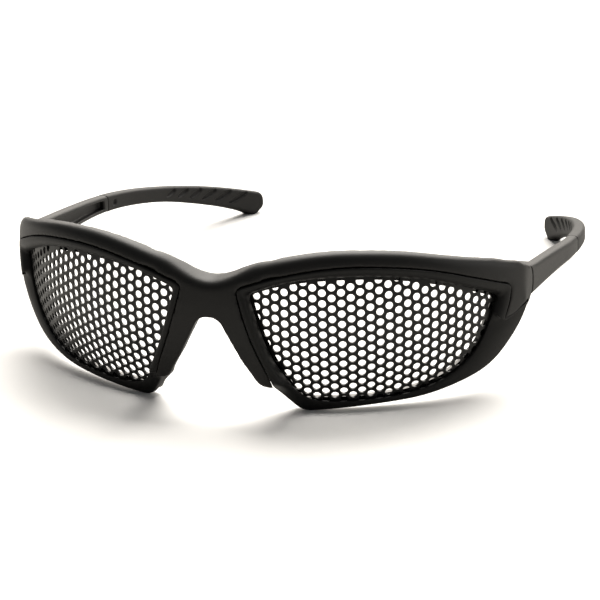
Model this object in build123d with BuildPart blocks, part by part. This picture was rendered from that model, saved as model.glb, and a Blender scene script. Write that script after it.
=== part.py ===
"""Mesh safety goggles: a wraparound frame with two perforated spherical sheets for lenses.

Millimetres, +Z up, -Y forward, +X the wearer's left. The goggles rest on the lower corners of their rims
and on the ends of their temples. The right-hand pieces are the left-hand ones mirrored at X = 0.
"""
from build123d import *
from math import asin, cos, degrees, radians, sin
import os

# Mesh lens: a punched steel sheet pressed to a sphere
lens_radius = 58.7
sheet_thickness = 0.5
hole_diameter = 1.9
column_spacing = 2.37
row_spacing = 2.69
hole_shift_across = -1.3
hole_shift_up = 0.26
hole_edge_margin = 0.2
lens_front_x = 41.73
lens_front_y = -62.12
lens_front_z = 24.2
wrap_angle = 31.0

# Rim: the carrier of the mesh, with a lip in front and a clamping ring behind
outline_half_width = 36.0
outline_half_height = 20.0
outline_drop = 4.2
rim_corner = 2.0
rim_low_corner = 4.0
rim_hook_corner = 2.5
opening_half_width = 31.2
opening_half_height = 16.9
opening_shift_across = -1.1
opening_drop = 4.7
opening_corner = 2.0
rim_back_depth = 1.6
rim_tilt = 6.0
lip_round = 0.5
lip_margin = 0.4
sheet_seat_width = 1.2
clamp_seat_width = 1.8
clamp_clearance = 0.05
clamp_ledge = 1.0
tongue_width = 1.4
tongue_rise = 0.9

# Brow: the bar over both rims, with a bridge, nose legs and the hinges' end-pieces
brow_rise = 4.0
brow_lean = 1.7
brow_back_rise = 1.0
seam_gap = 0.12
bridge_join_x = 12.0
bridge_back_y = -69.1
bridge_crease_y = -74.1
bridge_lead = 2.0
bridge_climb_share = 0.24
bridge_top_height = 34.9
crown_rise = 0.55
crown_radius = 2.5

# End-piece at the rear of the brow, and the seam where the temple meets it
end_outer_x = 69.15
end_inner_x = 62.6
end_inner_y = -32.6
end_slope_x = 64.5
end_slope_y = -36.6
end_front_x = 67.0
end_front_y = -40.1
seam_top_height = 31.6
seam_bulge_height = 26.4
seam_low_height = 21.2
seam_top_y = -32.5
seam_bulge_y = -27.1
seam_low_y = -29.7

# Hinge: a tongue on the brow between two ears of the temple, on a screw
hinge_x = 65.3
hinge_y = -24.1
knuckle_radius = 2.2
knuckle_clearance = 0.3
tongue_low = 23.9
tongue_high = 27.1
tongue_clearance = 0.08
screw_radius = 0.8
screw_running_clearance = 0.05
screw_seat_clearance = 0.02
screw_ear = 1.2
screw_grip = 0.75
screw_head_radius = 1.45
screw_head_depth = 0.7
screw_head_clearance = 0.1
driver_slot_width = 0.4
driver_slot_depth = 0.35

# Temple: a stiff arm carried on into a rubber tip
temple_thickness = 3.4
temple_bow_radius = 116.7
temple_straight = 37.4
temple_reach = 107.7
temple_rise = 30.0
temple_gap = 0.25
tail_corner = 2.6
arm_edge_round = 1.2
tip_edge_round = 1.0
head_thickness = 6.2
head_length = 10.1
head_front_x = 64.3
tip_start = 48.6
tang_length = 32.0
tang_thickness = 1.5
tang_border = 1.5
tang_clearance = 0.05
recess_start = 12.4
recess_end = 46.4
recess_depth = 1.7
recess_border = 1.25
dimple_place = 52.2
dimple_radius = 0.9
leaf_start = 77.6
leaf_spacing = 4.45
leaf_length = 3.6
leaf_growth = 0.5
leaf_width = 1.3
leaf_depth = 0.6
leaf_slope = 17.0

cut_overrun = 5.0

# Outlines in the lens plane, as shares of the half sizes above
opening_top_shares = [(-1.0, 0.73), (-0.756, 0.905), (-0.35, 1.0), (0.115, 0.947), (0.516, 0.763), (1.0, 0.373)]
opening_low_shares = [(1.0, 0.373), (0.94, 0.077), (0.808, -0.408), (0.612, -0.716), (0.362, -0.888),
                      (-0.093, -0.982), (-0.6, -1.0)]
opening_nose_shares = [(-0.6, -1.0), (-0.843, -0.254), (-1.0, 0.73)]
rim_nose_shares = [(-0.764, -0.615), (-0.844, -0.27), (-0.917, 0.06), (-0.967, 0.40), (-0.997, 0.69)]
rim_top_shares = [(-0.997, 0.69), (-0.792, 0.835), (-0.514, 0.95), (-0.25, 0.985), (0.022, 0.945),
                  (0.306, 0.845), (0.556, 0.695), (0.939, 0.40)]
rim_hook_shares = [(0.939, 0.40), (0.914, 0.175), (0.864, -0.05), (0.961, -0.01), (1.09, 0.10)]
rim_low_shares = [(1.09, 0.10), (1.006, -0.165), (0.911, -0.39), (0.786, -0.605), (0.55, -0.775),
                  (0.286, -0.88), (0.0, -0.92), (-0.258, -0.96), (-0.556, -1.01)]
bar_top_shares = [(-1.05, 0.79), (-0.903, 0.92), (-0.703, 1.035), (-0.43, 1.125), (-0.14, 1.13), (0.167, 1.065),
                  (0.39, 0.97), (0.667, 0.835), (0.845, 0.74), (1.12, 0.565), (1.25, 0.5)]
bar_inner_shares = [(1.25, 0.06), (1.12, 0.06), (0.95, -0.09), (0.0, 0.0), (-1.05, 0.4)]

# Bridge and left nose leg seen from the front, as shares of the join's place and of the top's height
bridge_top_shares = [(0.0, 1.0), (0.33, 1.02), (0.67, 1.073), (1.0, 1.125), (1.3, 1.135)]
bridge_inner_shares = [(1.3, 0.86), (1.4, 0.3)]
leg_end_shares = [(1.36, 0.215), (1.18, 0.224)]
leg_nose_shares = [(1.18, 0.224), (1.04, 0.24), (0.842, 0.341), (0.683, 0.433), (0.525, 0.544), (0.383, 0.638),
                   (0.275, 0.711), (0.15, 0.748), (0.0, 0.754)]

# Temple seen from the side, as shares of its reach and of its rise
temple_top_shares = [(0.0, 1.03), (0.04, 0.99), (0.138, 0.927), (0.254, 0.863), (0.370, 0.793), (0.486, 0.72),
                     (0.60, 0.637), (0.711, 0.54), (0.818, 0.433), (0.919, 0.31), (1.0, 0.19)]
temple_low_shares = [(0.974, -0.03), (0.947, 0.045), (0.919, 0.1), (0.818, 0.253), (0.711, 0.387), (0.60, 0.487),
                     (0.486, 0.563), (0.370, 0.617), (0.254, 0.66), (0.138, 0.693), (0.0, 0.73)]
temple_end_shares = [(1.0, 0.19), (1.003, 0.06), (0.974, -0.03)]
dimple_height_share = 0.64
leaf_height_shares = [0.468, 0.424, 0.377, 0.323, 0.27, 0.21]

across = Vector(cos(radians(wrap_angle)), sin(radians(wrap_angle)), 0)
outward = Vector(sin(radians(wrap_angle)), -cos(radians(wrap_angle)), 0)
lens_centre = Vector(lens_front_x, lens_front_y, lens_front_z) - outward * lens_radius
lens_plane = Plane(origin=lens_centre, x_dir=across, z_dir=outward)
brow_centre = lens_centre - across * brow_lean
front_radius = lens_radius + brow_rise
front_limit = front_radius + cut_overrun
rim_back = lens_radius - rim_back_depth
sheet_low = lens_radius - sheet_thickness / 2
sheet_high = lens_radius + sheet_thickness / 2


def scaled(shares, half_width, half_height, shift=0, drop=0):
    """Outline points from shares of two half sizes."""
    return [(shift + half_width * u, half_height * v - drop) for u, v in shares]


def grown(outline, margin):
    """An outline moved outward by a margin, its curves kept as plain splines."""
    return offset(outline, amount=margin).face().to_splines() if margin else outline


def opening_face(grow):
    """The lens opening in the lens plane, grown by a margin."""
    sizes = (opening_half_width, opening_half_height, opening_shift_across, opening_drop)
    with BuildSketch(lens_plane) as face:
        with BuildLine():
            Spline(*scaled(opening_top_shares, *sizes))
            Spline(*scaled(opening_low_shares, *sizes))
            ThreePointArc(*scaled(opening_nose_shares, *sizes))
        make_face()
        fillet(face.vertices(), opening_corner)
    return grown(face.sketch, grow)


def rim_face(grow):
    """The rim's outer outline in the lens plane, grown by a margin."""
    sizes = (outline_half_width, outline_half_height, 0, outline_drop)
    with BuildSketch(lens_plane) as face:
        with BuildLine():
            nose = Spline(*scaled(rim_nose_shares, *sizes))
            top = Spline(*scaled(rim_top_shares, *sizes))
            Polyline(*scaled(rim_hook_shares, *sizes))
            low = Spline(*scaled(rim_low_shares, *sizes))
            Line(low @ 1, nose @ 0)
        make_face()
        fillet([v for v in face.vertices() if (Vector(v) - nose @ 1).length < rim_corner], rim_corner)
        fillet([v for v in face.vertices() if (Vector(v) - top @ 1).length < rim_corner], rim_hook_corner)
        fillet([v for v in face.vertices() if (Vector(v) - low @ 1).length < rim_corner], rim_low_corner)
    return grown(face.sketch, grow)


def bar_face():
    """The brow bar in the lens plane, its lower side hidden inside the rim's outline."""
    sizes = (outline_half_width, outline_half_height, 0, outline_drop)
    with BuildSketch(lens_plane) as face:
        with BuildLine():
            top = Spline(*scaled(bar_top_shares, *sizes[:3], outline_drop - crown_rise))
            Polyline(top @ 1, *scaled(bar_inner_shares, *sizes), top @ 0)
        make_face()
    return face.sketch


def bridge_face():
    """The bridge and both nose legs seen from the front, ahead of the crease where the heights are taken."""
    with BuildSketch(Plane.XZ.offset(bridge_lead - bridge_crease_y)) as face:
        drop = bridge_climb_share * bridge_lead
        with BuildLine():
            top = Spline(*scaled(bridge_top_shares, bridge_join_x, bridge_top_height, 0, drop))
            inner = scaled(bridge_inner_shares + leg_end_shares, bridge_join_x, bridge_top_height, 0, drop)
            Polyline(top @ 1, *inner)
            nose = Spline(*scaled(leg_nose_shares, bridge_join_x, bridge_top_height, 0, drop))
            Line(nose @ 1, top @ 0)
        make_face()
        mirror(about=Plane.YZ)
    return face.sketch


def prism(face):
    """A lens plane outline carried forward past every front surface."""
    return extrude(face, amount=front_limit)


def ball(centre, radius):
    """A sphere about a point."""
    with BuildPart() as body:
        with Locations(centre):
            Sphere(radius)
    return body.part


def dome(face, low, high, high_centre=lens_centre):
    """The part of a thick spherical shell that a lens plane outline takes in."""
    outer, inner, outline = ball(high_centre, high), ball(lens_centre, low), prism(face)
    with BuildPart() as piece:
        add(outer)
        add(outline, mode=Mode.INTERSECT)
        add(inner, mode=Mode.SUBTRACT)
    return piece.part


def front_body():
    """The frame's front surface: two spheres joined by the cylinder that touches both."""
    with BuildPart() as body:
        with Locations(brow_centre, Vector(-brow_centre.X, brow_centre.Y, brow_centre.Z)):
            Sphere(front_radius)
        with Locations(Vector(0, brow_centre.Y, brow_centre.Z)):
            Cylinder(front_radius, 2 * brow_centre.X, rotation=(0, 90, 0))
    return body.part


def seam_face(gap):
    """Side view of all that lies ahead of the end-piece's rear face, moved back by a gap."""
    with BuildSketch(Plane.YZ) as face:
        front = lens_centre.Y - front_limit
        top = (seam_top_y + gap, seam_top_height)
        bulge = (seam_bulge_y + gap, seam_bulge_height)
        low = (seam_low_y + gap, seam_low_height)
        with BuildLine():
            ThreePointArc(top, bulge, low)
            Polyline(low, (low[0], -cut_overrun), (front, -cut_overrun),
                     (front, 2 * temple_rise), (top[0], 2 * temple_rise), top)
        make_face()
    return face.sketch


def temple_side(start, end, inset):
    """Side view of the temple between two distances from its front end, inset at its top and bottom."""
    top = [(seam_top_y + temple_reach * s, temple_rise * h - inset) for s, h in temple_top_shares]
    low = [(seam_top_y + temple_reach * s, temple_rise * h + inset) for s, h in temple_low_shares]
    tail = [(seam_top_y + temple_reach * s, temple_rise * h) for s, h in temple_end_shares]
    with BuildSketch(Plane.YZ) as face:
        with BuildLine():
            Spline(*top)
            Polyline(top[-1], tail[1], low[0])
            Spline(*low)
            Line(low[-1], top[0])
        make_face()
        if end > temple_reach:
            fillet([v for v in face.vertices() if v.X > tail[0][0] - tail_corner], tail_corner)
        with Locations((seam_top_y + (start + end) / 2, temple_rise)):
            Rectangle(end - start, 3 * temple_rise, mode=Mode.INTERSECT)
    return face.sketch


def temple_plan(near, far):
    """Plan view of the temple's bow between two depths measured inward from its outer face."""
    bend_y = seam_top_y + temple_straight
    bow_centre = (end_outer_x - temple_bow_radius, bend_y)
    swing = degrees(asin((temple_reach - temple_straight + cut_overrun) / temple_bow_radius))
    with BuildSketch() as plan:
        with BuildLine():
            outer = CenterArc(bow_centre, temple_bow_radius - near, 0, swing)
            inner = CenterArc(bow_centre, temple_bow_radius - far, 0, swing)
            Line(outer @ 1, inner @ 1)
            Polyline(outer @ 0, (end_outer_x - near, seam_top_y), (end_outer_x - far, seam_top_y), inner @ 0)
        make_face()
    return plan.sketch


def runs_along(edge):
    """True for an edge of the temple's outer or inner face, and not for one of a cut end or across it."""
    return round((edge @ 1 - edge @ 0).Y, 2) != 0


def temple_solid(start, end, near, far, inset=0.0, edge_round=0.0):
    """A stretch of the temple: its side view swept across, kept inside the bow of its plan view."""
    side = extrude(temple_side(start, end, inset), amount=end_outer_x + cut_overrun)
    plan = extrude(temple_plan(near, far), amount=2 * temple_rise, both=True)
    with BuildPart() as solid:
        add(side)
        add(plan, mode=Mode.INTERSECT)
        if edge_round:
            fillet([edge for edge in solid.edges() if runs_along(edge)], edge_round)
    return solid.part


def flat_point(point):
    """A point's projection on the lens plane."""
    return point - outward * (point - lens_centre).dot(outward)


def on_lip(edge):
    """True for an edge of the rim that runs round the lens opening in front of the mesh."""
    places = [edge @ share for share in (0.02, 0.5, 0.98)]
    return all(lip_zone.is_inside(flat_point(place)) for place in places) and (
        (places[1] - lens_centre).length > sheet_high)


def on_crease(edge):
    """True for the long edge between the brow's front surface and its top."""
    middle_point = edge @ 0.5
    return abs((middle_point - brow_centre).length - front_radius) < sheet_thickness and (
        edge.length > outline_half_width)


def on_bridge_crease(edge):
    """True for the edge between the bridge's front surface and its top."""
    places = [edge @ share for share in (0.02, 0.5, 0.98)]
    return all(place.Z > bridge_top_height * leg_nose_shares[-1][1] + brow_rise
               and place.Y < bridge_crease_y + crown_radius / 2 for place in places) and (
        abs(places[2].X - places[0].X) > brow_rise)


def keep(part, label):
    """Writes one piece as a STEP file of its own."""
    part.label = label
    export_step(part, "parts/" + label + ".step")


def keep_pair(part, label):
    """Writes the left piece and its mirror image."""
    keep(part, label + "_left")
    keep(mirror(part, about=Plane.YZ), label + "_right")


os.makedirs("parts", exist_ok=True)

# Mesh lens: columns of round holes, every second column half a row higher, all clear of the rim's lip
sheet = dome(opening_face(sheet_seat_width), sheet_low, sheet_high)
columns = int(opening_half_width / column_spacing) + 1
rows = int(opening_half_height / row_spacing) + 2
hole_zone = opening_face(hole_diameter / 2 + hole_edge_margin - sheet_seat_width).face()
hole_places = []
for column in range(-columns, columns + 1):
    for row in range(-rows, rows + 1):
        turn = (hole_shift_across + column * column_spacing) / lens_radius
        climb = (hole_shift_up + (row + (column % 2) / 2) * row_spacing) / lens_radius
        aim = (across * sin(turn) + outward * cos(turn)) * cos(climb) + Vector(0, 0, sin(climb))
        if hole_zone.is_inside(flat_point(lens_centre + aim * lens_radius)):
            hole_places.append(Plane(origin=lens_centre + aim * lens_radius, z_dir=aim))
with BuildPart() as mesh_lens:
    add(sheet)
    with Locations(*hole_places):
        Cylinder(hole_diameter / 2, 4 * sheet_thickness, mode=Mode.SUBTRACT)

# Rim: bevelled lip in front of the mesh, seat behind it, tongues under the brow, flat at its lowest corner
rim_blank = dome(rim_face(0), rim_back, front_radius, brow_centre)
rim_tilt_ball = ball(brow_centre + Vector(0, 0, rim_tilt), front_radius)
rim_tongue = dome(rim_face(tongue_width), rim_back, lens_radius + tongue_rise)
rim_opening = prism(opening_face(0))
rim_seat = dome(opening_face(clamp_seat_width), rim_back - cut_overrun, sheet_high)
ahead_of_seam = extrude(seam_face(0), amount=end_outer_x)
bar = prism(bar_face())
climb = Vector(0, 1, bridge_climb_share)
bridge_depth = bridge_back_y - bridge_crease_y + bridge_lead
bridge = extrude(bridge_face(), amount=bridge_depth * climb.length, dir=climb.normalized())
with BuildPart() as bar_tongue:
    add(rim_tongue)
    add(bar, mode=Mode.INTERSECT)
with BuildPart() as leg_tongue:
    add(rim_tongue)
    add(bridge, mode=Mode.INTERSECT)
lip_zone = opening_face(lip_margin).face()
with BuildPart() as rim:
    add(rim_blank)
    add(rim_tilt_ball, mode=Mode.INTERSECT)
    add(bar_tongue.part)
    add(leg_tongue.part)
    add(rim_opening, mode=Mode.SUBTRACT)
    fillet([edge for edge in rim.edges() if on_lip(edge)], lip_round)
    add(rim_seat, mode=Mode.SUBTRACT)
    add(ahead_of_seam, mode=Mode.INTERSECT)
    split(bisect_by=Plane.XY, keep=Keep.TOP)

# Clamping ring behind the mesh
clamp_blank = dome(opening_face(clamp_seat_width - clamp_clearance), rim_back, sheet_low)
clamp_opening = prism(opening_face(-clamp_ledge))
with BuildPart() as lens_clamp:
    add(clamp_blank)
    add(clamp_opening, mode=Mode.SUBTRACT)

# End-piece: a block behind the brow's rear end, and the hinge's tongue
with BuildPart() as end_piece:
    with BuildSketch(Plane.XY.offset(seam_low_height)) as end_plan:
        with BuildLine():
            Polyline((end_outer_x, hinge_y), (end_inner_x, hinge_y), (end_inner_x, end_inner_y),
                     (end_slope_x, end_slope_y), (end_front_x, end_front_y), (end_outer_x, end_front_y), close=True)
        make_face()
    extrude(amount=seam_top_height - seam_low_height)
with BuildPart() as hinge_tongue:
    with BuildSketch(Plane.XY.offset(tongue_low)) as tongue_plan:
        with Locations((hinge_x, hinge_y)):
            Circle(knuckle_radius)
        with Locations((hinge_x, (hinge_y + end_inner_y) / 2)):
            Rectangle(2 * knuckle_radius, hinge_y - end_inner_y)
        with Locations((hinge_x, hinge_y)):
            Circle(screw_radius + screw_running_clearance, mode=Mode.SUBTRACT)
    extrude(amount=tongue_high - tongue_low)

# Brow: the left half of the bar with its end-piece, its mirror image, and the bridge between them
front = front_body()
with BuildPart() as half_bar:
    add(front)
    add(bar, mode=Mode.INTERSECT)
    split(bisect_by=Plane.YZ.offset(bridge_join_x), keep=Keep.TOP)
    fillet([edge for edge in half_bar.edges() if on_crease(edge)], crown_radius)
    crowned = half_bar.part
with BuildPart() as outer_bar:
    add(crowned)
    with Locations(lens_centre):
        Sphere(lens_radius + brow_back_rise, mode=Mode.SUBTRACT)
with BuildPart() as outer_end:
    add(end_piece.part)
    add(crowned, mode=Mode.INTERSECT)
with BuildPart() as half_brow:
    add(outer_bar.part)
    add(outer_end.part)
    add(ahead_of_seam, mode=Mode.INTERSECT)
    add(hinge_tongue.part)
rim_space = dome(rim_face(seam_gap), rim_back - seam_gap, front_limit)
tongue_space = dome(rim_face(tongue_width + seam_gap), rim_back - seam_gap, lens_radius + brow_back_rise)
with BuildPart() as crowned_bridge:
    add(bridge)
    add(front, mode=Mode.INTERSECT)
    fillet([edge for edge in crowned_bridge.edges() if on_bridge_crease(edge)], crown_radius)
with BuildPart() as brow_frame:
    add(crowned_bridge.part)
    add(half_brow.part)
    add(mirror(half_brow.part, about=Plane.YZ, mode=Mode.PRIVATE))
    for space in (rim_space, tongue_space):
        add(space, mode=Mode.SUBTRACT)
        add(mirror(space, about=Plane.YZ, mode=Mode.PRIVATE), mode=Mode.SUBTRACT)

# Temple arm: head with two ears, bowed blade with a recess inside, tang for the rubber tip
middle = temple_thickness / 2
arm_blade = temple_solid(0, tip_start, 0, temple_thickness, 0, arm_edge_round)
arm_head = temple_solid(0, head_length, 0, head_thickness, 0, arm_edge_round)
arm_tang = temple_solid(tip_start - tang_border, tip_start + tang_length, middle - tang_thickness / 2,
                        middle + tang_thickness / 2, tang_border)
arm_recess = temple_solid(recess_start, recess_end, temple_thickness - recess_depth,
                          temple_thickness + cut_overrun, recess_border)
ahead_of_arm = extrude(seam_face(temple_gap), amount=end_outer_x + cut_overrun)
with BuildPart() as arm_slot:
    with BuildSketch(Plane.XY.offset(tongue_low - tongue_clearance)) as slot_plan:
        reach = knuckle_radius + knuckle_clearance
        with Locations((hinge_x, hinge_y)):
            Circle(reach)
            Rectangle(2 * reach, head_length, align=(Align.CENTER, Align.MAX))
            Rectangle(head_length, 2 * reach, align=(Align.MAX, Align.CENTER))
            Rectangle(head_length, head_length, align=(Align.MAX, Align.MAX))
    extrude(amount=tongue_high - tongue_low + 2 * tongue_clearance)
with BuildPart() as temple_arm:
    add(arm_blade)
    add(arm_head)
    add(arm_tang)
    add(ahead_of_arm, mode=Mode.SUBTRACT)
    with Locations((head_front_x, hinge_y, 0)):
        Box(head_thickness, head_length + cut_overrun, 2 * temple_rise,
            align=(Align.MAX, Align.MAX, Align.MIN), mode=Mode.SUBTRACT)
    add(arm_slot.part, mode=Mode.SUBTRACT)
    add(arm_recess, mode=Mode.SUBTRACT)

# Holes for the hinge screw, entered from below: a head seat, then a shank bore that stops short of the top
head_seat = tongue_low - tongue_clearance - screw_ear
screw_end = tongue_high + tongue_clearance + screw_grip
with BuildPart() as screw_bore:
    with Locations((hinge_x, hinge_y, screw_end)):
        Cylinder(screw_radius + screw_seat_clearance, screw_end, align=(Align.CENTER, Align.CENTER, Align.MAX))
    with Locations((hinge_x, hinge_y, head_seat)):
        Cylinder(screw_head_radius + screw_head_clearance, head_seat, align=(Align.CENTER, Align.CENTER, Align.MAX))
with BuildPart() as bored_arm:
    add(temple_arm.part)
    add(screw_bore.part, mode=Mode.SUBTRACT)

# Hinge screw: slotted head below, shank up through the tongue into the upper ear
with BuildPart() as hinge_screw:
    with Locations((hinge_x, hinge_y, head_seat)):
        Cylinder(screw_radius, screw_end - head_seat, align=(Align.CENTER, Align.CENTER, Align.MIN))
        Cylinder(screw_head_radius, screw_head_depth, align=(Align.CENTER, Align.CENTER, Align.MAX))
    with Locations((hinge_x, hinge_y, head_seat - screw_head_depth)):
        Box(2 * screw_head_radius, driver_slot_width, driver_slot_depth,
            align=(Align.CENTER, Align.CENTER, Align.MIN), mode=Mode.SUBTRACT)

# Rubber tip: sleeve over the tang, a dimple and a row of growing leaf-shaped grooves on its inner face
tip_blank = temple_solid(tip_start, temple_reach + cut_overrun, 0, temple_thickness, 0, tip_edge_round)
tip_pocket = temple_solid(tip_start - cut_overrun, tip_start + tang_length + tang_clearance,
                          middle - tang_thickness / 2 - tang_clearance, middle + tang_thickness / 2 + tang_clearance,
                          tang_border - tang_clearance)
inner_skin = extrude(temple_plan(temple_thickness - leaf_depth, temple_thickness + cut_overrun),
                     amount=2 * temple_rise)
with BuildPart() as grooves:
    with BuildSketch(Plane.YZ):
        for number, share in enumerate(leaf_height_shares):
            with Locations((seam_top_y + leaf_start + number * leaf_spacing, temple_rise * share)):
                Ellipse((leaf_length + number * leaf_growth) / 2, leaf_width / 2, rotation=leaf_slope)
        with Locations((seam_top_y + dimple_place, temple_rise * dimple_height_share)):
            Circle(dimple_radius)
    extrude(amount=end_outer_x)
    add(inner_skin, mode=Mode.INTERSECT)
with BuildPart() as temple_tip:
    add(tip_blank)
    split(bisect_by=Plane.XY, keep=Keep.TOP)
    add(tip_pocket, mode=Mode.SUBTRACT)
    add(grooves.part, mode=Mode.SUBTRACT)

keep(brow_frame.part, "brow_frame")
for name, piece in (("rim", rim), ("mesh_lens", mesh_lens), ("lens_clamp", lens_clamp), ("temple_arm", bored_arm),
                    ("temple_tip", temple_tip), ("hinge_screw", hinge_screw)):
    keep_pair(piece.part, name)
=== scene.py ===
"""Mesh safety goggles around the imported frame. Metres, +Z up, -Y forward, +X the wearer's left."""

import bmesh
import bpy
import numpy as np
from mathutils import Matrix, Vector


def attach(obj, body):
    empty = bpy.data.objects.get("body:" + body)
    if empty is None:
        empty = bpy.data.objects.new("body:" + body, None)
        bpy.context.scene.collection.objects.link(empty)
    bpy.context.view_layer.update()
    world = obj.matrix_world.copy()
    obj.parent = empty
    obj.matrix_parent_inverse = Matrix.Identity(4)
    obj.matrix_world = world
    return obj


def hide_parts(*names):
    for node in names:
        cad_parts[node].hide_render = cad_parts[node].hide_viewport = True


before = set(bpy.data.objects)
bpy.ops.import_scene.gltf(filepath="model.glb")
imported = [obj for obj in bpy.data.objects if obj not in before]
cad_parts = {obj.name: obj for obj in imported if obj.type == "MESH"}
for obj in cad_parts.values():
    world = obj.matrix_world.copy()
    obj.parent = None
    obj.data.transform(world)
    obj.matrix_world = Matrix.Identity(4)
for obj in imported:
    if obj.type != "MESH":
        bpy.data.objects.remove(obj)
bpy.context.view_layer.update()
MM = 0.001


# Brow frame: one piece of matte black nylon, with the bar, the bridge, both nose legs and both end-pieces.
# It is injection moulded in a spark eroded tool, so its skin has a fine even grain and its edges are rounded.
arm_seam_z, arm_seam_y, arm_seam_bends = 26.4, -27.1, (0.2, 0.096)
rim_top_x = (7, 16, 26.5, 35.6, 43.6, 51.7, 58.9, 66.8)
rim_top_z = (33.8, 36.7, 39, 39.7, 38.9, 36.9, 33.9, 28)
brow_voxel, brow_rounds, join_rounds = 0.27, 13, 90


def linear(code):
    """Linear RGBA from an sRGB hex value."""
    s = np.array([int(code[i:i + 2], 16) for i in (1, 3, 5)]) / 255
    rgb = np.where(s <= 0.04045, s / 12.92, ((s + 0.055) / 1.055) ** 2.4)
    return (*rgb.tolist(), 1.0)


def add_node(tree, kind, inputs=None):
    """Adds a node and, by socket name or number, sets values and links sockets given as (node, output)."""
    node = tree.nodes.new("ShaderNode" + kind)
    for key, value in (inputs or {}).items():
        if isinstance(value, tuple) and isinstance(value[0], bpy.types.Node):
            tree.links.new(value[0].outputs[value[1]], node.inputs[key])
        else:
            node.inputs[key].default_value = value
    return node


def moulded(name, dark, light, roughness, gloss, grain_mm, relief_mm, metallic=0.0):
    """A moulded or coated skin: two near shades in soft clouds, a fine grain in relief, and a roughness that
    drifts with the grain. Real grain would be too fine to show, so it is drawn coarser."""
    cloud_mm, drift = 9, 0.06
    material = bpy.data.materials.new(name)
    material.use_nodes = True
    tree = material.node_tree
    tree.nodes.clear()
    place = add_node(tree, "TexCoord")
    cloud = add_node(tree, "TexNoise", {
        "Vector": (place, "Object"), "Scale": 1 / (cloud_mm * MM), "Detail": 3.0})
    tone = add_node(tree, "MapRange", {"Value": (cloud, "Fac"), "From Min": 0.35, "From Max": 0.65})
    colour = add_node(tree, "MixRGB", {
        "Fac": (tone, "Result"), "Color1": linear(dark), "Color2": linear(light)})
    grain = add_node(tree, "TexNoise", {
        "Vector": (place, "Object"), "Scale": 1 / (grain_mm * MM), "Detail": 2.0})
    dullness = add_node(tree, "MapRange", {
        "Value": (grain, "Fac"), "To Min": roughness - drift, "To Max": roughness + drift})
    bump = add_node(tree, "Bump", {"Height": (grain, "Fac"), "Strength": 0.6, "Distance": relief_mm * MM})
    shader = add_node(tree, "BsdfPrincipled", {
        "Base Color": (colour, "Color"), "Roughness": (dullness, "Result"), "Normal": (bump, "Normal"),
        "IOR": 1.5, "Specular IOR Level": gloss, "Metallic": metallic})
    add_node(tree, "OutputMaterial", {"Surface": (shader, "BSDF")})
    return material


def finish_piece(name, mesh, material, body, node):
    """Links a finished mesh as the piece that stands for a CAD node, rides on its body and takes its slot."""
    mesh.materials.clear()
    mesh.materials.append(material)
    mesh.shade_smooth()
    piece = bpy.data.objects.new(name, mesh)
    bpy.context.scene.collection.objects.link(piece)
    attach(piece, body)
    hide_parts(node)
    return piece


def softened(node, voxel_mm, rounds, zone=None, zone_rounds=0):
    """A copy of a node's closed mesh with mould-round edges: merged, rebuilt in small even squares, then
    relaxed, where each round moves every point half the way to the middle of its neighbours. A zone gives each
    point's share of a second, longer relaxing."""
    weld, pull = 1e-6, 0.5
    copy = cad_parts[node].data.copy()
    loose = bmesh.new()
    loose.from_mesh(copy)
    bmesh.ops.remove_doubles(loose, verts=loose.verts, dist=weld)
    bmesh.ops.scale(loose, vec=(1 / MM,) * 3, verts=loose.verts)
    loose.to_mesh(copy)
    loose.free()
    holder = bpy.data.objects.new(node + "_rebuilt", copy)
    bpy.context.scene.collection.objects.link(holder)
    grid = holder.modifiers.new("even_squares", "REMESH")
    grid.mode, grid.voxel_size, grid.adaptivity = "VOXEL", voxel_mm, 0.0
    depsgraph = bpy.context.evaluated_depsgraph_get()
    mesh = bpy.data.meshes.new_from_object(holder.evaluated_get(depsgraph))
    bpy.data.objects.remove(holder)
    points = np.empty(len(mesh.vertices) * 3)
    mesh.vertices.foreach_get("co", points)
    points = points.reshape(-1, 3)
    ends = np.empty(len(mesh.edges) * 2, np.int64)
    mesh.edges.foreach_get("vertices", ends)
    one, two = ends.reshape(-1, 2).T
    count = np.bincount(np.r_[one, two], minlength=len(points))[:, None]
    share = np.ones((len(points), 1))
    for number in range(rounds + zone_rounds):
        if number == rounds:
            share = zone(points)[:, None]
        total = np.stack([np.bincount(np.r_[one, two], np.r_[points[two, axis], points[one, axis]],
                                      minlength=len(points)) for axis in range(3)], axis=1)
        points += pull * share * (total / count - points)
    mesh.vertices.foreach_set("co", (points * MM).ravel())
    mesh.update()
    return mesh


def grown(value, start, reach):
    """0 up to the start, 1 from the start plus the reach, and a straight line between them."""
    return np.clip((value - start) / reach, 0, 1)


def joins(points):
    """Each point's share of the longer relaxing, which is for places where a mould leaves no edge: the outside
    of the end-pieces, the top of the brow where the bridge meets the bars, and a quarter as much along the
    crest. It is nothing at the seams with the arm and the rim, which stay crisp. Seen from the side, the arm's
    seam runs forward from arm_seam_y by a bend times the square of the height from arm_seam_z."""
    end_x, end_low, end_clear, end_top, end_lean = 65.5, 23.5, 29.8, 31.5, 3
    bridge_x, bridge_reach, bridge_low = 12.5, 4, 36.3
    crest_share, crest_low = 0.25, 1.5
    x, y, z = np.abs(points.T) * ((1,), (-1,), (1,))
    seam = arm_seam_y - np.where(z > arm_seam_z, *arm_seam_bends) * (z - arm_seam_z) ** 2
    clear = np.maximum(grown(seam - y, 0.6, 1.5), grown(z, end_clear, 0.8))
    end = grown(x + end_lean * grown(z, end_top, 1), end_x, 2.5) * grown(z, end_low, 3) * clear
    bridge = np.clip(1.5 - np.abs(x - bridge_x) / bridge_reach, 0, 1) * grown(z, bridge_low, 1.2)
    crest = crest_share * grown(z - np.interp(x, rim_top_x, rim_top_z), crest_low, 1.2)
    return np.maximum(crest, np.maximum(end, bridge))


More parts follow.
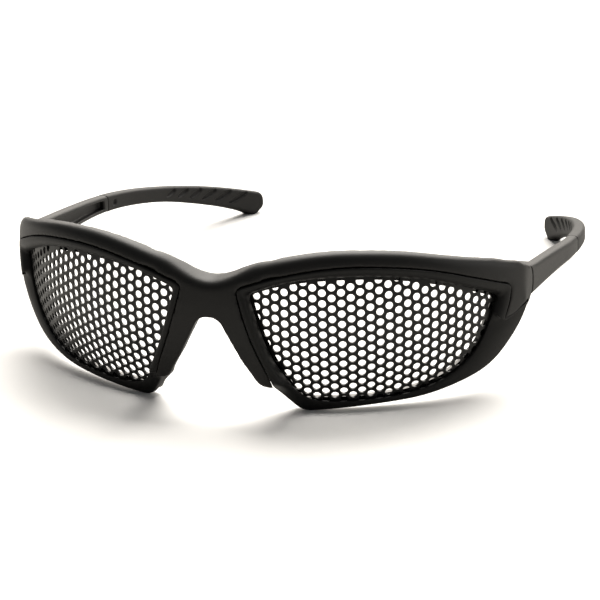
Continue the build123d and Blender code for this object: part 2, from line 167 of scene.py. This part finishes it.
# Nylon, moulded in a spark eroded tool: a near black, dry skin with a broad soft highlight on its crowns
frame_nylon = moulded("matte_black_nylon", "#0d0d0c", "#121110", 0.44, 0.38, 0.35, 0.012)
brow = softened("brow_frame", brow_voxel, brow_rounds, joins, join_rounds)
finish_piece("brow_shell", brow, frame_nylon, "front", "brow_frame")


# Rims: one on each side, injection moulded in the same nylon, each a closed ring with a flush face that rolls
# down to the mesh. A ledge behind the lip takes the sheet's edge, and the lowest corner is flat, to rest on.
# The outlines are shares of two half sizes in a plane that faces 31 degrees off the front.
lens_radius, lens_turn = 58.7, np.radians(31)
across = np.array((np.cos(lens_turn), np.sin(lens_turn), 0))
outward = np.array((np.sin(lens_turn), -np.cos(lens_turn), 0))
upward = np.array((0, 0, 1.0))
lens_centre = np.array((41.73, -62.12, 24.2)) - lens_radius * outward
brow_radius, brow_lean, half_width = 62.7, 1.7, 69.15
outline_half, outline_drop = (36.0, 20.0), 4.2
opening_half, opening_shift, opening_drop = (31.2, 16.9), -1.1, 4.7
lip, lip_round, edge_round, face_power = 0.75, 0.4, 0.3, 2.4
seat_width, back_depth, back_tuck, sheet_front = 1.8, 1.6, 0.9, 0.25
tongue_width, tongue_rise = 0.8, 0.85
opening_top_shares = [(-1.0, 0.73), (-0.756, 0.905), (-0.35, 1.0), (0.115, 0.947), (0.516, 0.763),
                      (1.0, 0.373)]
opening_low_shares = [(1.0, 0.373), (0.94, 0.077), (0.808, -0.408), (0.612, -0.716), (0.362, -0.888),
                      (-0.093, -0.982), (-0.6, -1.0)]
opening_nose_shares = [(-0.6, -1.0), (-0.843, -0.254), (-1.0, 0.73)]
rim_top_shares = [(-0.997, 0.69), (-0.792, 0.835), (-0.514, 0.95), (-0.25, 0.985), (0.022, 0.945),
                  (0.306, 0.845), (0.556, 0.695), (0.939, 0.40)]
rim_hook_shares = [(0.939, 0.40), (0.914, 0.175), (0.864, -0.05)]
rim_tail_shares = [(0.864, -0.05), (0.961, -0.01), (1.09, 0.10)]
rim_low_shares = [(1.09, 0.10), (1.006, -0.165), (0.911, -0.39), (0.786, -0.605), (0.55, -0.775),
                  (0.286, -0.88), (0.0, -0.92), (-0.258, -0.96), (-0.556, -1.01)]
rim_corner_shares = [(-0.556, -1.01), (-0.764, -0.615)]
rim_nose_shares = [(-0.764, -0.615), (-0.844, -0.27), (-0.917, 0.06), (-0.967, 0.40), (-0.997, 0.69)]

# How many rows of the rim's grid each stretch takes, which are top, hook, tail, low, corner and nose, and the
# first row of each but the top
stretch_rows = (200, 40, 40, 190, 40, 110)
hook_row, tail_row, low_row, corner_row, nose_row, row_count = np.cumsum(stretch_rows)
ring_rows = np.arange(row_count)


def run_through(places, count, start=0.0, end=1.0):
    """Evenly spaced points on the natural cubic spline through places, between two shares of its length. Its
    second derivatives solve the usual three-term equations over the chord lengths."""
    samples = 800
    p = np.asarray(places, float)
    chord = np.r_[0, np.cumsum(np.linalg.norm(np.diff(p, axis=0), axis=1))]
    step = np.diff(chord)
    rows = np.eye(len(p))
    turn = np.zeros_like(p)
    for i in range(1, len(p) - 1):
        rows[i, i - 1:i + 2] = step[i - 1], 2 * (step[i - 1] + step[i]), step[i]
        turn[i] = 6 * ((p[i + 1] - p[i]) / step[i] - (p[i] - p[i - 1]) / step[i - 1])
    bend = np.linalg.solve(rows, turn)

    def at(t):
        i = np.clip(np.searchsorted(chord, t, side="right") - 1, 0, len(step) - 1)
        a, b, s = (chord[i + 1] - t)[:, None], (t - chord[i])[:, None], step[i][:, None]
        return ((bend[i] * a ** 3 + bend[i + 1] * b ** 3) / (6 * s)
                + (p[i] / s - bend[i] * s / 6) * a + (p[i + 1] / s - bend[i + 1] * s / 6) * b)
    fine = at(np.linspace(0, chord[-1], samples))
    along = np.r_[0, np.cumsum(np.linalg.norm(np.diff(fine, axis=0), axis=1))]
    wanted = np.linspace(start, end, count, endpoint=False) * along[-1]
    return np.stack([np.interp(wanted, along, fine[:, axis]) for axis in (0, 1)], axis=1)


def relaxed(loop, spread):
    """A closed loop blurred by a bell curve of that many samples, which rounds its corners."""
    n = len(loop)
    offset = np.minimum(np.arange(n), n - np.arange(n))
    bell = np.exp(-0.5 * (offset / spread) ** 2)
    return np.real(np.fft.ifft(np.fft.fft(loop, axis=0) * np.fft.fft(bell / bell.sum())[:, None], axis=0))


def outline(shares, half, shift, drop):
    """Outline points in the lens plane from shares of two half sizes."""
    return [(shift + half[0] * u, half[1] * v - drop) for u, v in shares]


def rim_loops():
    """The rim's outer outline and its opening in the lens plane, row against row: the opening's low and nose
    runs are cut at shares of their length to match the outline's stretches. Blurring by a few samples rounds
    their corners, and by many the opening's low corner beside the nose."""
    hook_end, tail_end, corner_start, corner_end = 0.07, 0.13, 0.98, 0.12
    edge_blur, foot_blur, opening_blur, corner_blur = 3, 5, 4.5, 26
    stretches = (rim_top_shares, rim_hook_shares, rim_tail_shares, rim_low_shares, rim_corner_shares,
                 rim_nose_shares)
    outer = np.vstack([run_through(outline(shares, outline_half, 0, outline_drop), rows)
                       for shares, rows in zip(stretches, stretch_rows)])
    top, low, nose = (outline(shares, opening_half, opening_shift, opening_drop) for shares in
                      (opening_top_shares, opening_low_shares, opening_nose_shares))
    inner = np.vstack([run_through(top, 200), run_through(low, 40, 0, hook_end),
                       run_through(low, 40, hook_end, tail_end), run_through(low, 190, tail_end, corner_start),
                       run_through(low, 20, corner_start, 1.0), run_through(nose, 20, 0, corner_end),
                       run_through(nose, 110, corner_end, 1.0)])
    near_foot = np.abs(ring_rows - corner_row)[:, None] < 30
    outer = np.where(near_foot, relaxed(outer, foot_blur), relaxed(outer, edge_blur))
    wide = np.interp(ring_rows, (low_row + 110, corner_row - 10, nose_row + 10, nose_row + 40),
                     (0, 1, 1, 0))[:, None]
    inner = relaxed(inner, opening_blur) * (1 - wide) + relaxed(inner, corner_blur) * wide
    return outer, inner


def face_rise(outer):
    """How far the face stands over the lens sphere at the outer outline: up to the brow's sphere where the
    brow and the nose leg hold the rim, and lower along its free side, where blurring evens the heights."""
    held, tail_rise, side_rise, under_rise, foot_rise, corner_rise = 9, 3.2, 2.3, 1.2, 0.9, 1.6
    free_blur, edge_blur = 10, 3
    u, v = outer.T
    flush = np.sqrt(brow_radius ** 2 - (u + brow_lean) ** 2 - v ** 2)
    flush_rise = np.sqrt(flush ** 2 + u ** 2 + v ** 2) - lens_radius
    free = np.interp(ring_rows, (tail_row, low_row, low_row + 45, low_row + 110, corner_row, nose_row,
                                 nose_row + 20),
                     (held, tail_rise, side_rise, under_rise, foot_rise, corner_rise, held))
    rise = np.minimum(flush_rise, relaxed(free[:, None], free_blur)[:, 0])[:, None]
    return relaxed(rise, edge_blur)


def rim_surface():
    """The left rim in millimetres, as a closed grid of points: rows follow the ring, and columns go round its
    section, up the lip's wall, out over the face, down the outer wall, round the tongue where the brow and the
    nose leg hold the rim, and in along the back. The face's height over the lens sphere grows from the lip by
    1 - (1 - f) ** face_power, where f is the share of the width."""
    arc_steps, face_steps = 7, 16
    outer, inner = rim_loops()
    rise = face_rise(outer)
    width = np.linalg.norm(outer - inner, axis=1)[:, None]
    aim = (outer - inner) / width
    bend = np.linspace(0, np.pi / 2, arc_steps)
    near = lip_round * (1 - np.cos(bend))
    far = edge_round * (1 - np.cos(bend[::-1]))
    middle = np.linspace(0, 1, face_steps)[1:-1]
    place = np.hstack([near + 0 * width, lip_round + middle * (width - lip_round - edge_round), width - far])
    share = place / width
    height = lip + (rise - lip) * (1 - (1 - share) ** face_power)
    height[:, :arc_steps] -= lip_round * (1 - np.sin(bend))
    height[:, -arc_steps:] -= edge_round * (1 - np.sin(bend[::-1]))
    still = 0 * width
    shoulder = np.minimum(tongue_rise, rise - edge_round - 0.1)
    held = np.interp(ring_rows, (hook_row, hook_row + 30, tail_row, nose_row + 2, nose_row + 10),
                     (1, 1, 0, 0, 1))[:, None]
    out = width + held * tongue_width
    tuck = np.minimum(back_tuck, width * 0.2)
    seat = np.minimum(seat_width, width * 0.6)
    columns = [(place, height), (width, shoulder + 0.6 * (rise - edge_round - shoulder)), (width, shoulder),
               (out, shoulder - 0.05), (out, shoulder - 0.2), (out, still + 0.3), (width, still + 0.1),
               (width - tuck, 0.1 - back_depth + still), (width - tuck - 0.2, -back_depth + still),
               (seat + (width - seat) * 0.5, -back_depth + still), (seat, -back_depth + still),
               (seat, sheet_front + still), (seat * 0.5, sheet_front + still), (still, sheet_front + still)]
    place = np.hstack([c[0] for c in columns])
    height = np.hstack([c[1] for c in columns])
    flat = inner[:, None, :] + aim[:, None, :] * place[:, :, None]
    depth = np.sqrt((lens_radius + height) ** 2 - (flat ** 2).sum(2))
    points = lens_centre + flat[..., :1] * across + depth[..., None] * outward + flat[..., 1:] * upward
    points[..., 0] = np.minimum(points[..., 0], half_width)
    points[..., 2] = np.maximum(points[..., 2], 0.0)
    return points


def ring_mesh(name, points, mirrored):
    """A mesh over a grid of points that closes on itself both ways, mirrored at X = 0 if asked."""
    rows, columns = points.shape[:2]
    number = np.arange(rows * columns).reshape(rows, columns)
    ahead, beside = np.roll(number, -1, axis=0), np.roll(number, -1, axis=1)
    corner = np.roll(ahead, -1, axis=1)
    faces = np.stack([number, ahead, corner, beside], axis=-1).reshape(-1, 4)
    places = points.reshape(-1, 3) * MM
    if mirrored:
        places, faces = places * (-1, 1, 1), faces[:, ::-1]
    mesh = bpy.data.meshes.new(name)
    mesh.from_pydata(places.tolist(), [], faces.tolist())
    mesh.update()
    return mesh


# The same nylon from a finer tool: an even, slightly duller skin, so that the bevel shades without glints
rim_nylon = moulded("satin_black_nylon", "#0d0d0d", "#111110", 0.5, 0.32, 0.3, 0.01)
rim_points, crisp_edge = rim_surface(), np.radians(40)
for side in ("left", "right"):
    ring = ring_mesh("rim_shell_" + side, rim_points, side == "right")
    rim = finish_piece("rim_shell_" + side, ring, rim_nylon, "front", "rim_" + side)
    rim.data.set_sharp_from_angle(angle=crisp_edge)


# Lenses: steel sheet 0.5 mm thick, punched, pressed to a sphere and coated black, with a clamping ring of
# polished nylon behind each that holds the sheet in its seat.
def dress(node, material):
    """Gives a CAD node's surface its finish."""
    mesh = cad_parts[node].data
    mesh.materials.clear()
    mesh.materials.append(material)


# Steel, punched and powder coated: a thin black satin film that takes a clear gleam on the edges of the holes
coated_steel = moulded("black_coated_steel", "#0c0c0c", "#111111", 0.36, 0.4, 0.2, 0.006)
# Nylon from a polished tool: smooth and glossy, so that it shows as darker glints behind the holes
clamp_nylon = moulded("polished_black_nylon", "#0b0b0b", "#0f0f0f", 0.18, 0.5, 0.5, 0.004)
for side in ("left", "right"):
    dress("mesh_lens_" + side, coated_steel)
    dress("lens_clamp_" + side, clamp_nylon)


# Temples: a stiff nylon arm with two ears for the hinge, a recess inside, and a rubber tip moulded over its
# tang, with a dimple and a row of leaf-shaped grooves. A steel screw from below holds each arm to the brow.
arm_voxel, arm_rounds = 0.22, 5
tip_voxel, tip_rounds = 0.2, 4
# Nylon, a shade warmer and lighter than the brow, with the same fine grain
arm_nylon = moulded("matte_black_nylon_arm", "#100f0e", "#151413", 0.46, 0.38, 0.35, 0.012)
# Rubber, moulded over the tang: soft and dull, with a coarser skin than the nylon and no clear highlight
tip_rubber = moulded("black_rubber", "#11100f", "#161514", 0.56, 0.4, 0.4, 0.02)
# Steel, turned and blackened: a dark metal gleam in the screw's head
screw_steel = moulded("blackened_steel", "#3a3836", "#44413e", 0.3, 0.5, 0.2, 0.004, metallic=0.9)
for side in ("left", "right"):
    body = side + "_temple"
    arm, tip = "temple_arm_" + side, "temple_tip_" + side
    arm_mesh = softened(arm, arm_voxel, arm_rounds)
    finish_piece("arm_shell_" + side, arm_mesh, arm_nylon, body, arm)
    tip_mesh = softened(tip, tip_voxel, tip_rounds)
    finish_piece("tip_shell_" + side, tip_mesh, tip_rubber, body, tip)
    dress("hinge_screw_" + side, screw_steel)


# Stage: a wide white table in a dim room, with softboxes above, behind, and at the picture's right
def stage_floor():
    """A flat square under the goggles, white paper to the camera and duller to the light that it returns."""
    half, clouds_per_metre = 3.0, 60.0
    corners = [(-half, -half, 0), (half, -half, 0), (half, half, 0), (-half, half, 0)]
    mesh = bpy.data.meshes.new("table")
    mesh.from_pydata(corners, [], [(0, 1, 2, 3)])
    material = bpy.data.materials.new("white_paper")
    material.use_nodes = True
    tree = material.node_tree
    tree.nodes.clear()
    place = add_node(tree, "TexCoord")
    fibre = add_node(tree, "TexNoise", {"Vector": (place, "Object"), "Scale": clouds_per_metre})
    colour = add_node(tree, "MixRGB", {
        "Fac": (fibre, "Fac"), "Color1": linear("#fcfcfb"), "Color2": linear("#fefefe")})
    white = add_node(tree, "BsdfDiffuse", {"Color": (colour, "Color")})
    dull = add_node(tree, "BsdfDiffuse", {"Color": linear("#b4b3b0")})
    rays = add_node(tree, "LightPath")
    pick = add_node(tree, "MixShader", {0: (rays, "Is Camera Ray"), 1: (dull, "BSDF"), 2: (white, "BSDF")})
    add_node(tree, "OutputMaterial", {"Surface": (pick, 0)})
    mesh.materials.append(material)
    floor = bpy.data.objects.new("table", mesh)
    bpy.context.scene.collection.objects.link(floor)


def dim_room(lit, seen):
    """A white world of two strengths: one that lights the goggles, and one that the camera sees."""
    room = bpy.data.worlds.new("dim_room")
    bpy.context.scene.world = room
    room.use_nodes = True
    tree = room.node_tree
    tree.nodes.clear()
    rays = add_node(tree, "LightPath")
    dim = add_node(tree, "Background", {"Color": (1, 1, 1, 1), "Strength": lit})
    bright = add_node(tree, "Background", {"Color": (1, 1, 1, 1), "Strength": seen})
    pick = add_node(tree, "MixShader", {
        0: (rays, "Is Camera Ray"), 1: (dim, "Background"), 2: (bright, "Background")})
    add_node(tree, "OutputWorld", {"Surface": (pick, 0)})


def softbox(name, place, width, height, watts, tint):
    """A rectangular lamp at a place, turned to face the middle of the goggles."""
    lamp = bpy.data.lights.new(name, "AREA")
    lamp.shape = "RECTANGLE"
    lamp.size, lamp.size_y, lamp.energy, lamp.color = width, height, watts, tint
    holder = bpy.data.objects.new(name, lamp)
    holder.location = place
    holder.rotation_euler = (Vector((0, 0, 0.02)) - Vector(place)).to_track_quat("-Z", "Y").to_euler()
    bpy.context.scene.collection.objects.link(holder)


stage_floor()
softbox("ceiling_softbox", (0.0, 0.8, 1.35), 1.6, 1.2, 54.0, (1.0, 0.96, 0.9))
softbox("rear_softbox", (-0.4, 1.8, 0.85), 2.8, 0.9, 36.0, (1.0, 0.94, 0.86))
softbox("right_softbox", (1.5, 0.5, 0.5), 1.2, 0.8, 4.0, (1.0, 0.97, 0.92))
dim_room(lit=0.13, seen=1.0)

# Camera: a long lens, 21 degrees to the wearer's left of the front and 20 degrees above, tilted by two degrees
eye = bpy.data.cameras.new("eye")
eye.sensor_width, eye.lens = 36.0, 216.08
eye.clip_start, eye.clip_end = 0.01, 20.0
stand = bpy.data.objects.new("eye", eye)
eye_place = Matrix.Translation((0.31393, -0.84359, 0.33821))
eye_round, eye_above, eye_tilt = (np.radians(angle) for angle in (20.6456, 20.3806, -2.0920))
stand.matrix_world = (eye_place @ Matrix.Rotation(eye_round, 4, "Z")
                      @ Matrix.Rotation(np.pi / 2 - eye_above, 4, "X") @ Matrix.Rotation(eye_tilt, 4, "Z"))
bpy.context.scene.collection.objects.link(stand)
bpy.context.scene.camera = stand
bpy.context.scene.view_settings.view_transform = "Standard"
